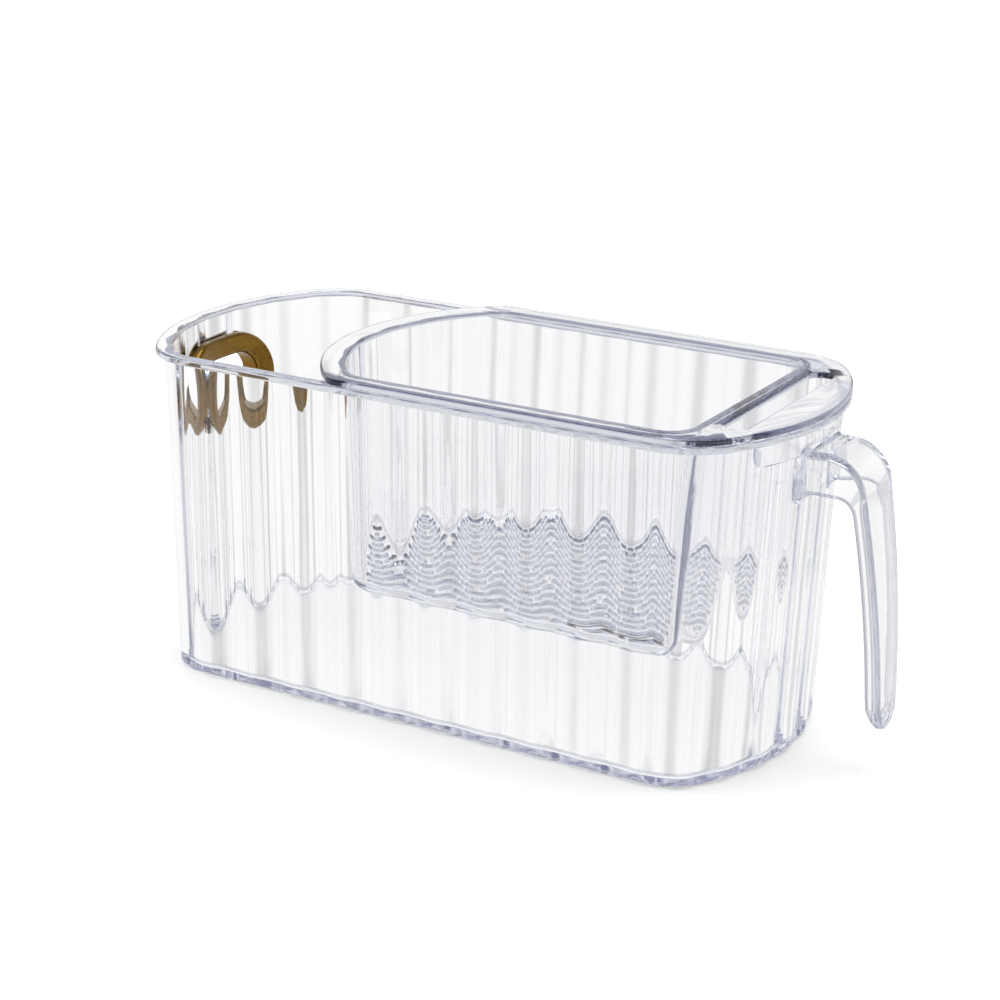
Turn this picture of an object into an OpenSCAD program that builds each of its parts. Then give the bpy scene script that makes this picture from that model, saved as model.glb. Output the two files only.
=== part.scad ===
// Fruit draining basket: a clear fluted bin with a moulded handle, a basket with
// a slotted floor that lifts out of it, and a gold ring round the grip hole.
// Millimetres. +Z is up and +X points to the handle. The origin is the middle
// of the face that the bin rests on.

/* [Bin] */
// length of the rim, without the handle
rim_l = 193; // [175:1:215]
// width of the rim
rim_w = 95; // [86:1:105]
// height of the rim above the table
bin_h = 92; // [82:1:110]
// plan radius of the bowed ends
end_r = 70; // [62:1:85]
// plan radius of the rim's corners
corner_r = 20; // [17:0.5:25]
// how far the lip stands out past the flutes
lip_out = 2; // [1.6:0.1:3]
// height of the lip
lip_h = 1.8; // [1.4:0.1:3]
// bevel of the lip's edges
lip_bevel = 0.5; // [0.2:0.1:0.7]
// how far the wall leans in from the lip to the base
lean = 2.8; // [1.5:0.1:4]
// wall thickness at the crown of a flute
wall_t = 2.2; // [1.8:0.1:3]
// number of flutes round the wall
flutes = 35; // [27:2:41]
// depth of a flute
flute_d = 1.1; // [0.6:0.1:1.2]
// floor thickness
floor_t = 2; // [1.5:0.1:3]
// rounding of the base edge
base_r = 3; // [2:0.5:5]

/* [Handle] */
// how far the handle reaches past the rim
handle_out = 20.5; // [17:0.5:26]
// height of the top of the handle
handle_top = 85; // [75:1:88]
// height of the tip of the handle
handle_tip = 11.5; // [6:0.5:30]
// width at the root
handle_w = 19.8; // [16:0.2:24]
// width at the tip
tip_w = 13.2; // [11:0.2:16]
// depth of the arm where it leaves the wall
arm_d = 11.3; // [9:0.1:14]
// depth of the channel along the grip
channel_d = 4.2; // [3:0.1:6]
// thickness of the channel's web and sides
handle_t = 1.8; // [1.4:0.1:2.4]
// outer radius of the bend
bend_r = 11; // [9:0.5:13]
// radius under the bend
under_r = 4.5; // [3:0.5:6]
// how far the tip stands out past the bend
grip_lean = 7.2; // [4:0.2:9]
// half width of the plain pad under the lip at the handle
pad_w = 29; // [20:1:34]
// height of that pad below the lip
pad_h = 6; // [3:0.5:8]

/* [Grip ring] */
// outer width of the gold ring
ring_w = 41; // [34:0.5:48]
// outer height of the gold ring
ring_h = 26.5; // [22:0.5:32]
// how far the ring's top lies below the rim
ring_drop = 7.5; // [5:0.5:14]
// width of the ring's band
ring_band = 5.8; // [4.5:0.1:7]
// how far the ring stands in from the wall
ring_proud = 2.6; // [2:0.1:4]
// how far its outer flange stands out from the wall
ring_back = 1.2; // [0.8:0.1:1.4]
// rounding of the ring's edges
ring_round = 1.4; // [0.6:0.1:1.8]
// thickness of the sleeve that passes through the wall
sleeve_t = 1.6; // [1.2:0.1:2.2]
// clearance between the ring and the wall
ring_fit = 0.1; // [0.05:0.05:0.2]

/* [Basket] */
// how far the nose lies from the middle of the bin
nose_x = 44.2; // [34:0.2:54]
// plan radius of the nose
nose_r = 65; // [58:1:80]
// plan radius between the nose and the sides
nose_corner_r = 16; // [14:0.5:20]
// plan radius at the cross bar
bar_corner_r = 14; // [13:0.5:18]
// thickness of the rim flange
flange_t = 1.7; // [1.4:0.1:3]
// gap between the flange and the bin's rim
seat_gap = 0.3; // [0.2:0.05:0.5]
// gap between the basket and the bin's wall, at the top
side_gap = 0.6; // [0.4:0.1:1]
// how much more than the bin the basket leans in
basket_lean = 0.5; // [0.2:0.1:2]
// depth of the basket below its flange
basket_d = 58.6; // [40:0.2:75]
// wall thickness at the crown of a flute
basket_t = 2; // [1.7:0.1:2.6]
// distance between two flutes, from the nose to the corner at the bar
basket_pitch = 14.6; // [11:0.2:18]
// depth of a flute
basket_flute_d = 0.9; // [0.5:0.1:1]
// floor thickness
basket_floor_t = 1.8; // [1.4:0.1:2.6]
// rounding of the basket's bottom edge
basket_r = 5; // [3:0.5:7]
// width of the cross bar
bar_w = 5; // [4:0.2:8]
// width of the slot beside the cross bar
slot_w = 6.6; // [5:0.2:9]
// length of that slot
slot_l = 61; // [40:1:64]
// width of the plate between the slot and the rim's end
slot_end = 11.2; // [9:0.2:14]

/* [Drain slots] */
// length of a drain slot
drain_l = 11.6; // [7:0.2:14]
// width of a drain slot
drain_w = 2.2; // [1.4:0.1:2.8]
// bridge between two slots of a row
drain_bridge = 1.8; // [1.4:0.1:4]
// bar between two rows
drain_bar = 2.25; // [1.6:0.05:4]
// plain border of the floor inside its rounding
drain_edge = 0.6; // [0.3:0.1:4]

/* [Hidden] */
flute_fn = 60;
plan_fn = 90;
// tiny overlaps that keep touching faces apart
seam = 0.05;
lap = 0.03;
past = 0.1;
deg = 180 / PI;

half_l = rim_l / 2;
half_w = rim_w / 2;
end_cx = half_l - end_r;
cor_y = half_w - corner_r;
cor_x = end_cx + sqrt(pow(end_r - corner_r, 2) - pow(cor_y, 2));
phi = atan2(cor_y, cor_x - end_cx);
cor_s = corner_r * (90 - phi) / deg;
end_s = 2 * end_r * phi / deg;
round_s = 4 * cor_x + 4 * cor_s + 2 * end_s;

grip_x = half_l + handle_out;
bend_a = atan(1.8 * grip_lean / (handle_top - 0.8 * bend_r - handle_tip));
bend_z = handle_top - bend_r * (1 - sin(bend_a));
arm_x = half_l - lip_out - lean - wall_t;

ring_z = bin_h - ring_drop - ring_h / 2;

seat_z = bin_h + seat_gap;
top_z = seat_z + flange_t;
bot_z = seat_z - basket_d;
bar_x = half_l - slot_end - slot_w - bar_w;
nose_cx = nose_r - nose_x;
nc_y = half_w - nose_corner_r;
nc_x = nose_cx - sqrt(pow(nose_r - nose_corner_r, 2) - pow(nc_y, 2));
nose_a = atan2(nc_y, nose_cx - nc_x);
skin_o = basket_in(seat_z) - basket_t / 2;
basket_in_r = max(basket_r - basket_t, 1);
tail_x = bar_x + basket_in(seat_z);
bc_x = tail_x - bar_corner_r;
bc_y = half_w - bar_corner_r;
nose_s = (nose_r - skin_o) * nose_a / deg;
turn_s = (nose_corner_r - skin_o) * (90 - nose_a) / deg;
side_s = bc_x - nc_x;
flutes_half = floor((nose_s + turn_s + side_s) / basket_pitch);
plain_x = nc_x + flutes_half * basket_pitch - nose_s - turn_s;

// Insets from the rim's outline: crown of the bin's wall, and the basket's wall.
function wall_o(z) = lip_out + lean * (1 - z / bin_h);
function basket_o(z) = wall_o(z) + wall_t + side_gap + basket_lean * (seat_z - z) / basket_d;
function basket_in(z) = basket_o(z) + basket_t;

function to_um(x) = round(x * 1000) / 1000;
function turn(c, r, a) = c + r * [cos(a), sin(a)];
function mirror_y(p, s) = [p[0], s < 0 ? -p[1] : p[1]];

// Point at s along the rim's outline, inset by o. s = 0 is the middle of the near side.
function rim_pt(s, o) =
    let (t = s - floor(s / round_s) * round_s,
         a = cor_x, b = a + cor_s, c = b + end_s, d = c + cor_s,
         e = d + 2 * cor_x, f = e + cor_s, g = f + end_s, h = g + cor_s)
    t < a ? [t, o - half_w] :
    t < b ? turn([cor_x, -cor_y], corner_r - o, -90 + (t - a) / corner_r * deg) :
    t < c ? turn([end_cx, 0], end_r - o, -phi + (t - b) / end_r * deg) :
    t < d ? turn([cor_x, cor_y], corner_r - o, phi + (t - c) / corner_r * deg) :
    t < e ? [cor_x - t + d, half_w - o] :
    t < f ? turn([-cor_x, cor_y], corner_r - o, 90 + (t - e) / corner_r * deg) :
    t < g ? turn([-end_cx, 0], end_r - o, 180 - phi + (t - f) / end_r * deg) :
    t < h ? turn([-cor_x, -cor_y], corner_r - o, 180 + phi + (t - g) / corner_r * deg) :
    [t - h - cor_x, o - half_w];

// Point at s along the basket's outline, inset by o. s = 0 is the nose.
function basket_pt(s, o) =
    let (t = abs(s), a = nose_s, b = a + turn_s)
    mirror_y(
        t < a ? turn([nose_cx, 0], nose_r - o, 180 - t / (nose_r - skin_o) * deg) :
        t < b ? turn([nc_x, nc_y], nose_corner_r - o,
                     180 - nose_a - (t - a) / (nose_corner_r - skin_o) * deg) :
        [nc_x + t - b, half_w - o], s);

function circle_of(a, b, c) =
    let (d = 2 * (a[0] * (b[1] - c[1]) + b[0] * (c[1] - a[1]) + c[0] * (a[1] - b[1])))
    [(a * a * (b[1] - c[1]) + b * b * (c[1] - a[1]) + c * c * (a[1] - b[1])) / d,
     (a * a * (c[0] - b[0]) + b * b * (a[0] - c[0]) + c * c * (b[0] - a[0])) / d];

// Section points [inset, height] of a tub whose bottom edge is rounded.
function round_foot(o, z, r) = [for (a = [0, 30, 60, 90]) [o + r - r * sin(a), z + r - r * cos(a)]];

// Section points of a plate whose edges are bevelled by e.
function plate_edge(z0, z1, e) = [[e, z0], [0, z0 + e], [0, z1 - e], [e, z1]];

// Half section of a tub, revolved round a centre that lies r inside the outline.
module half_section(pts, r) {
    n = len(pts) - 1;
    polygon(concat([[0, pts[0][1]]], [for (p = pts) [r - p[0], p[1]]], [[0, pts[n][1]]]));
}

module full_section(pts, w) {
    n = len(pts) - 1;
    polygon(concat([for (p = pts) [w - p[0], p[1]]], [for (i = [n:-1:0]) [pts[i][0] - w, pts[i][1]]]));
}

module along_x(x0, x1) {
    translate([x0, 0, 0]) rotate([90, 0, 90]) linear_extrude(x1 - x0) children();
}

module sector(x, a0, a1) {
    translate([x, 0, 0]) rotate(a0) rotate_extrude(angle = a1 - a0, $fn = plan_fn) children();
}

module corners(x, y) {
    for (s = [-1, 1]) translate([x, s * y, 0]) rotate_extrude($fn = plan_fn) children();
}

// Solid inside the rim's outline, with the section's insets.
module tub(pts) {
    a = phi + past / (end_r - corner_r) * deg;
    along_x(-cor_x - past, cor_x + past) full_section(pts, half_w);
    sector(end_cx, -a, a) half_section(pts, end_r);
    sector(-end_cx, 180 - a, 180 + a) half_section(pts, end_r);
    corners(cor_x, cor_y) half_section(pts, corner_r - seam);
    corners(-cor_x, cor_y) half_section(pts, corner_r - seam);
}

module tail(pts) {
    n = len(pts) - 1;
    rotate([90, 0, 0]) linear_extrude(2 * bc_y + 2 * past, center = true)
        polygon(concat([[bc_x - 1, pts[0][1]]],
                       [for (p = pts) [tail_x - p[0], p[1]]],
                       [[bc_x - 1, pts[n][1]]]));
}

// Solid inside the basket's outline, with the section's insets.
module basket_tub(pts) {
    a = nose_a + past / (nose_r - nose_corner_r) * deg;
    along_x(nc_x - past, bc_x + past) full_section(pts, half_w);
    sector(nose_cx, 180 - a, 180 + a) half_section(pts, nose_r);
    corners(nc_x, nc_y) half_section(pts, nose_corner_r - seam);
    corners(bc_x, bc_y) half_section(pts, bar_corner_r - seam);
    tail(pts);
}

// One flute: a round stave through three points low down and three high up,
// cut to its share of the wall.
module stave(lo, hi, z0, z1, share) {
    c0 = circle_of(lo[0], lo[1], lo[2]);
    c1 = circle_of(hi[0], hi[1], hi[2]);
    v = [c1[0] - c0[0], c1[1] - c0[1], z1 - z0];
    lead = atan2(v[1], v[0]);
    face = atan2(lo[1][1] - c0[1], lo[1][0] - c0[0]);
    r0 = to_um(norm(lo[0] - c0));
    r1 = to_um(norm(hi[0] - c1));
    intersection() {
        translate([c0[0], c0[1], z0])
            rotate([0, acos(v[2] / norm(v)), lead]) rotate(face + 180 - lead)
                cylinder(h = norm(v), r1 = r0, r2 = r1, $fn = flute_fn);
        translate([0, 0, z0 + 1]) linear_extrude(z1 - z0 - 2) polygon(share);
    }
}

module bin_staves() {
    p = round_s / flutes;
    z0 = -3;
    z1 = bin_h + 3;
    o0 = wall_o(z0);
    o1 = wall_o(z1);
    deep = o0 + wall_t + 2;
    d = flute_d;
    for (i = [0:flutes - 1]) {
        a = i * p;
        b = a + p;
        m = a + p / 2;
        stave([rim_pt(a, o0 + d), rim_pt(m, o0), rim_pt(b, o0 + d)],
              [rim_pt(a, o1 + d), rim_pt(m, o1), rim_pt(b, o1 + d)], z0, z1,
              [rim_pt(a - lap, -3), rim_pt(b + lap, -3),
               rim_pt(b + lap, deep), rim_pt(a - lap, deep)]);
    }
}

module basket_staves() {
    p = basket_pitch;
    z0 = bot_z - 3;
    z1 = top_z + 3;
    o0 = basket_o(z0);
    o1 = basket_o(z1);
    deep = o0 + basket_t + 1.5;
    d = basket_flute_d;
    for (i = [-flutes_half:flutes_half - 1]) {
        a = i * p;
        b = a + p;
        m = a + p / 2;
        stave([basket_pt(a, o0 + d), basket_pt(m, o0), basket_pt(b, o0 + d)],
              [basket_pt(a, o1 + d), basket_pt(m, o1), basket_pt(b, o1 + d)], z0, z1,
              [basket_pt(a - lap, -3), basket_pt(b + lap, -3),
               basket_pt(b + lap, deep), basket_pt(a - lap, deep)]);
    }
}

// Outer face of the grip, from the tip (u = 0) to the bend (u = 1).
function grip(u) = [grip_x - grip_lean * (0.2 * u + 0.8 * u * u), handle_tip + u * (bend_z - handle_tip)];
function grip_d(u) = channel_d * min(1, 0.45 + 5 * u);
function bend(p, r0, r, a) = [p[0] + r * cos(a) - r0 * cos(bend_a), p[1] + r * sin(a) - r0 * sin(bend_a)];

module handle_side() {
    low_z = handle_top - arm_d - under_r * (1 - sin(bend_a));
    u1 = (low_z - handle_tip) / (bend_z - handle_tip);
    under = grip(u1) - [channel_d, 0];
    polygon(concat(
        [[arm_x, handle_top]],
        [for (i = [0:8]) bend(grip(1), bend_r, bend_r, 90 - i * (90 - bend_a) / 8)],
        [for (i = [9:-1:0]) grip(i / 10)],
        [for (i = [0:12]) grip(u1 * i / 12) - [grip_d(u1 * i / 12), 0]],
        [for (i = [1:4]) bend(under, under_r, under_r, bend_a + i * (90 - bend_a) / 4)],
        [[arm_x, handle_top - arm_d]]));
}

module handle_hollow() {
    polygon(concat(
        [[arm_x - 1, handle_top - handle_t]],
        [for (i = [0:8]) bend(grip(1), bend_r, bend_r - handle_t, 90 - i * (90 - bend_a) / 8)],
        [for (i = [9:-1:0]) grip(i / 10) - [handle_t, 0]],
        [[arm_x - 1, handle_tip]]));
}

module handle_front(t) {
    r = tip_w / 2 - t;
    w = handle_w / 2 - t;
    z0 = handle_tip + tip_w / 2;
    translate([0, z0]) circle(r, $fn = 40);
    polygon([[-r, z0], [r, z0], [w, bend_z], [w, handle_top + 1], [-w, handle_top + 1], [-w, bend_z]]);
}

module handle() {
    x1 = grip_x + 5;
    difference() {
        intersection() {
            rotate([90, 0, 0]) linear_extrude(2 * handle_w, center = true) handle_side();
            along_x(arm_x - 2, x1) handle_front(0);
        }
        intersection() {
            rotate([90, 0, 0]) linear_extrude(2 * handle_w, center = true) handle_hollow();
            along_x(arm_x - 2, x1) handle_front(handle_t);
        }
    }
}

// Plain pad under the lip, where the flutes stop above the handle.
module handle_pad() {
    z0 = bin_h - lip_h - pad_h;
    z1 = bin_h - lip_h / 2;
    r = pad_h / 2;
    intersection() {
        sector(end_cx, -phi, phi) half_section([[wall_o(z0) - 0.2, z0], [wall_o(z1) - 0.2, z1]], end_r);
        along_x(0, half_l) {
            translate([-pad_w, z0 + r]) square([2 * pad_w, pad_h + lip_h]);
            translate([r - pad_w, z0]) square([2 * pad_w - pad_h, pad_h]);
            for (s = [-1, 1]) translate([s * (pad_w - r), z0 + r]) circle(r, $fn = 24);
        }
    }
}

module oval(w, h) {
    square([w - h, h], center = true);
    for (s = [-1, 1]) translate([s * (w - h) / 2, 0]) circle(h / 2, $fn = 40);
}

module through_grip_end(w, h) {
    translate([0, 0, ring_z]) along_x(-half_l - 5, -half_l + 20) oval(w, h);
}

// Part of a shell that follows the grip end's wall, k0 to k1 in from its crowns.
module end_shell(k0, k1) {
    a = asin((ring_w / 2 + 3) / (end_r - 8));
    z0 = ring_z - ring_h / 2 - 2;
    z1 = ring_z + ring_h / 2 + 2;
    r0 = end_r - wall_o(z0);
    r1 = end_r - wall_o(z1);
    sector(-end_cx, 180 - a, 180 + a) polygon([[r0 - k1, z0], [r0 - k0, z0], [r1 - k0, z1], [r1 - k1, z1]]);
}

// Oval band of the ring, k0 to k1 in from the crowns, with both edges drawn in.
module ring_band(k0, k1, band, inset) {
    w = ring_w - 2 * ring_band;
    h = ring_h - 2 * ring_band;
    intersection() {
        end_shell(k0, k1);
        difference() {
            through_grip_end(w + 2 * band - 2 * inset, h + 2 * band - 2 * inset);
            through_grip_end(w + 2 * inset, h + 2 * inset);
        }
    }
}

module bin() {
    foot = wall_o(base_r) - 0.15;
    in_r = max(base_r - 1, 1);
    z_in = floor_t + in_r;
    color([0.9, 0.92, 0.97, 0.5]) difference() {
        union() {
            intersection() {
                union() {
                    bin_staves();
                    tub([[wall_o(0) + wall_t, 0], [wall_o(0) + wall_t, floor_t + 1]]);
                }
                tub(concat(round_foot(foot, 0, base_r), [[wall_o(bin_h) - 0.15, bin_h - lip_h / 3]]));
            }
            tub(plate_edge(bin_h - lip_h, bin_h, lip_bevel));
            handle_pad();
            handle();
        }
        tub(concat(round_foot(wall_o(z_in) + wall_t, floor_t, in_r),
                   [[wall_o(bin_h + 1) + wall_t, bin_h + 1]]));
        through_grip_end(ring_w - 2 * ring_band + 2 * sleeve_t + 2 * ring_fit,
                         ring_h - 2 * ring_band + 2 * sleeve_t + 2 * ring_fit);
    }
}

module grip_ring() {
    k = wall_t + ring_fit;
    color([0.72, 0.53, 0.14]) {
        for (a = [0, 30, 60, 90])
            ring_band(k, k + ring_proud - ring_round * (1 - sin(a)), ring_band, ring_round * (1 - cos(a)));
        ring_band(-ring_fit - ring_back / 2, k + ring_proud / 4, sleeve_t, 0);
        ring_band(-ring_fit - ring_back, -ring_fit, ring_band, 0);
    }
}

module rim_plate(pts) {
    a = phi + past / (end_r - corner_r) * deg;
    over = 3;
    turn_a = 90 - phi + 2 * over;
    along_x(nose_cx - nose_r - 1, cor_x + past) full_section(pts, half_w);
    sector(end_cx, -a, a) half_section(pts, end_r);
    for (s = [-1, 1]) translate([cor_x, s * cor_y, 0])
        rotate(s * (90 + over))
            rotate_extrude(angle = -s * turn_a, $fn = plan_fn) half_section(pts, corner_r - seam);
}

module flange() {
    e = 0.5;
    intersection() {
        rim_plate(plate_edge(seat_z, top_z, e));
        union() {
            sector(nose_cx, 90, 270)
                polygon([[0, seat_z - 1], [nose_r - e, seat_z - 1], [nose_r - e, seat_z],
                         [nose_r, seat_z + e], [nose_r, top_z - e],
                         [nose_r - e, top_z], [nose_r - e, top_z + 1], [0, top_z + 1]]);
            translate([nose_cx - 1, -half_w - 1, seat_z - 1])
                cube([half_l - nose_cx + 2, rim_w + 2, flange_t + 2]);
        }
    }
}

module slot_shape() {
    r = slot_w / 2;
    x = bar_x + bar_w + r;
    translate([x - r, -slot_l / 2 + r]) square([slot_w, slot_l - slot_w]);
    for (s = [-1, 1]) translate([x, s * (slot_l / 2 - r)]) circle(r, $fn = 32);
}

module drain_slots() {
    o = basket_in(bot_z) + basket_in_r + drain_edge;
    px = drain_l + drain_bridge;
    py = drain_w + drain_bar;
    y_max = half_w - o - drain_w / 2;
    rows = floor(2 * y_max / py);
    x_max = tail_x - o;
    r = drain_w / 2;
    for (j = [0:rows]) {
        y = (j - rows / 2) * py;
        x_min = nose_cx - sqrt(pow(nose_r - o, 2) - pow(abs(y) + r, 2));
        shift = j % 2 == 0 ? 0 : px / 2;
        first = floor((x_min - nose_cx - shift) / px);
        last = ceil((x_max - nose_cx - shift) / px);
        for (i = [first:last]) {
            x0 = max(x_min, nose_cx + shift + i * px);
            x1 = min(x_max, nose_cx + shift + i * px + drain_l);
            if (x1 - x0 > 2.5 * drain_w) translate([0, y]) polygon(concat(
                [for (a = [-90:36:90]) turn([x1 - r, 0], r, a)],
                [for (a = [90:36:270]) turn([x0 + r, 0], r, a)]));
        }
    }
}

module drain_basket() {
    foot = basket_o(bot_z + basket_r) - 0.12;
    z_in = bot_z + basket_floor_t + basket_in_r;
    z_up = seat_z + flange_t / 2;
    plain = [[basket_o(bot_z), bot_z], [basket_o(z_up), z_up]];
    color([0.93, 0.95, 1, 0.5]) difference() {
        union() {
            intersection() {
                union() {
                    basket_staves();
                    along_x(plain_x, bc_x + past) full_section(plain, half_w);
                    corners(bc_x, bc_y) half_section(plain, bar_corner_r - seam);
                    tail(plain);
                    basket_tub([[basket_in(bot_z), bot_z], [basket_in(bot_z), bot_z + basket_floor_t + 1]]);
                }
                basket_tub(concat(round_foot(foot, bot_z, basket_r), [[basket_o(z_up) - 0.12, z_up]]));
            }
            flange();
        }
        basket_tub(concat(round_foot(basket_in(z_in), bot_z + basket_floor_t, basket_in_r),
                          [[basket_in(top_z + 1), top_z + 1]]));
        translate([0, 0, seat_z - 1]) linear_extrude(flange_t + 2) slot_shape();
        translate([0, 0, bot_z - 1]) linear_extrude(basket_floor_t + 2) drain_slots();
    }
}

bin();
drain_basket();
grip_ring();
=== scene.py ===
from math import asin, atan, atan2, ceil, cos, degrees, floor, hypot, pi, radians, sin, sqrt

import bmesh
import bpy
import numpy as np
from mathutils import Matrix, Vector


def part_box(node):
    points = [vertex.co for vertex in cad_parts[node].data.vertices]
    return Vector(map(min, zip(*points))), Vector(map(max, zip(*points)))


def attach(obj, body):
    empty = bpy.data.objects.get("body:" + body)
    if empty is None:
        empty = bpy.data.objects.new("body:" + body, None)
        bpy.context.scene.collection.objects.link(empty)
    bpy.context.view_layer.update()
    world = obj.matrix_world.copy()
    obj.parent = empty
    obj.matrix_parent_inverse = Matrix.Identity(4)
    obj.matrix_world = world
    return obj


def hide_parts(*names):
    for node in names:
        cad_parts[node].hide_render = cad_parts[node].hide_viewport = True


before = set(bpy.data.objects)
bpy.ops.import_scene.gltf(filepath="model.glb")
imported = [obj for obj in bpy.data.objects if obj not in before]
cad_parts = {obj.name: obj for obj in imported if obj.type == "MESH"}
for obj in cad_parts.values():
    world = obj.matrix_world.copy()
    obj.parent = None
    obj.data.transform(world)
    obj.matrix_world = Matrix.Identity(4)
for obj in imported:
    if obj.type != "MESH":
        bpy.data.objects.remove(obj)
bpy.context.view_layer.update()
scene = bpy.context.scene

# Sizes are in millimetres, in the frame's own axes, and MM turns them into metres.
# _L, _W, _H, _T, _D and _R end the names of lengths, widths, heights, thicknesses, depths and radii.
MM = 0.001
bin_low, bin_high = [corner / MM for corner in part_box("bin")]
basket_low, basket_high = [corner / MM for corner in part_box("drain_basket")]

# Rim outline: two bowed ends, four corners, two straight sides
HALF_LENGTH = -bin_low.x
HALF_WIDTH = bin_high.y
END_R = 70.0
CORNER_R = 20.0
END_CENTRE_X = HALF_LENGTH - END_R
CORNER_Y = HALF_WIDTH - CORNER_R
CORNER_X = END_CENTRE_X + sqrt((END_R - CORNER_R) ** 2 - CORNER_Y ** 2)
END_ANGLE = degrees(atan2(CORNER_Y, CORNER_X - END_CENTRE_X))

# Bin wall
BIN_H = bin_high.z
LIP_OUT = 2.0  # from the flutes' crowns to the lip's edge
LIP_H = 1.8
LIP_ROUND = 0.6
LEAN = 2.8  # how much further in the wall stands at its foot
WALL_T = 2.2  # at the crown of a flute
FLUTES = 35
FLUTE_D = 1.2
FLOOR_T = 2.0
BASE_R = 3.0  # from the underside into the wall
INNER_R = 2.0  # from the inner floor into the wall
FOOT_SLACK = 0.15  # the foot's round ends this far outside the crowns
MOUTH_R = 0.4  # the rim's inner edge

# Handle
GRIP_X = bin_high.x
HANDLE_TOP = 85.0
HANDLE_TIP = 11.5
HANDLE_W = 19.8  # at the bend
TIP_W = 13.2
ARM_D = 11.3  # the channel's depth where it leaves the wall
CHANNEL_D = 4.2  # the channel's depth in the grip
HANDLE_T = 1.8
BEND_R = 11.0  # outside of the bend
UNDER_R = 4.5  # inside of the bend
GRIP_LEAN = 7.2  # how much further out the tip is than the bend
ROOT_X = 93.4  # where the handle's swelling is full
ROOT_R = 3.0
CHANNEL_R = 1.2  # the channel's outer edges
CHANNEL_IN_R = 0.7  # the channel's inner corners
ROOT_DEPTH = 1.65  # how deep the handle and its pad reach into the wall
ARM_X = HALF_LENGTH - LIP_OUT - LEAN - WALL_T
PAD_HALF_W = 29.0
PAD_H = 6.0
PAD_PROUD = 0.2  # past the flutes' crowns
GRIP_STRAIGHT = 0.2  # share of the lean that is not curved
TIP_DEPTH = 0.45  # share of the channel's depth at the tip
TIP_GROWTH = 5  # how fast that share grows up the grip
BEND_RISE = 0.8 * BEND_R
BEND_ANGLE = atan((2 - GRIP_STRAIGHT) * GRIP_LEAN / (HANDLE_TOP - BEND_RISE - HANDLE_TIP))
BEND_Z = HANDLE_TOP - BEND_R * (1 - sin(BEND_ANGLE))

# Grip ring
RING_W = 41.0
RING_H = 26.5
RING_DROP = 7.5  # from the rim down to the ring
RING_BAND = 5.8  # width of the bands
RING_PROUD = 2.6  # thickness of the inner band
RING_BACK = 1.2  # thickness of the outer band
RING_ROUND = 1.4
SLEEVE_T = 1.6
RING_FIT = 0.1  # gap to the wall
BACK_ROUND = 0.4
HOLE_OUT = 5.0  # the hole's cutter starts this far outside the rim's end
HOLE_IN = 20.0  # and ends this far inside it
RING_Z = BIN_H - RING_DROP - RING_H / 2

# Drain basket
TOP_Z = basket_high.z
BOT_Z = basket_low.z
FLANGE_T = 1.7
SEAT_Z = TOP_Z - FLANGE_T
SIDE_GAP = 0.6  # from the bin's wall to the basket's crowns, at the rim
BASKET_LEAN = 0.5  # what the basket leans in more than the bin
BASKET_T = 2.0
BASKET_FLUTE_D = 0.55
BASKET_FLOOR_T = 1.8
BASKET_R = 5.0
BASKET_IN_R = 3.0
BASKET_FOOT_SLACK = 0.12  # as on the bin
BASKET_MOUTH_R = 0.5
FLANGE_ROUND = 0.6
NOSE_X = -basket_low.x
NOSE_R = 65.0
NOSE_CORNER_R = 16.0
FLANGE_CORNER_R = 4.0
BAR_CORNER_R = 14.0
BAR_W = 5.0
SLOT_W = 6.6
SLOT_L = 61.0
SLOT_END = 11.2  # from the rim's end to the slot
SLOT_FLARE = 0.4  # at the slot's lower edge
SLOT_ROUND = 0.5  # at the slot's upper edge
BAR_X = HALF_LENGTH - SLOT_END - SLOT_W - BAR_W
NOSE_CENTRE_X = NOSE_R - NOSE_X

# Drain slots
DRAIN_L = 11.6
DRAIN_W = 2.2
DRAIN_BRIDGE = 1.8  # between the slots of a row
DRAIN_BAR = 2.25  # between two rows
DRAIN_EDGE = 0.6  # flat floor between the slots and the wall's round
DRAIN_CHAMFER = 0.45
DRAIN_SHORTEST = 0.75  # least half run between a slot's round ends, in slot widths
DRAIN_PAST = 0.1  # what the cutter is deeper than the floor

# Fineness of the meshes, and how far a cutter reaches past what it cuts
COLUMNS_PER_FLUTE = 16
WALL_ROWS = 12
BASKET_ROWS = 10
ROUND_STEPS = 6
TIP_STEPS = 12
GRIP_STEPS = 18
BEND_STEPS = 14
ARM_STEPS = 16
RING_STEPS = 128
HOLE_STEPS = 96
SLOT_SIDES = 16
WALL_STEP = 2.0
LOFT_STEP = 1.2
PLAIN_STEP = 1.4
SLOT_STEP = 0.7
FLUTE_STEP = 0.6
MERGE_DISTANCE = 0.002
SHARP_ANGLE = radians(25)
PAST = 1.0
NO_FOOT = -100.0  # a least inset that never counts

# Painted shade: faces given a darker base colour, the narrow ones of rounded edges and the slanted ones
# of chamfers, standing in for the dark lines that refraction draws along them
EDGE_W = 0.45
FLAT_SLOPE = 0.99
SLANT_LEAST = 0.3
SLANT_MOST = 0.95
EDGE_PAINTED_SHADE = (0.58, 0.60, 0.66, 1.0)
WHITE = (1.0, 1.0, 1.0, 1.0)


def wall_inset(z):
    """Inset of the bin's flute crowns from the rim outline at height z."""
    return LIP_OUT + LEAN * (1 - z / BIN_H)


def basket_inset(z):
    """Inset of the basket's flute crowns from the rim outline at height z."""
    return wall_inset(z) + WALL_T + SIDE_GAP + BASKET_LEAN * (SEAT_Z - z) / (SEAT_Z - BOT_Z)


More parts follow.
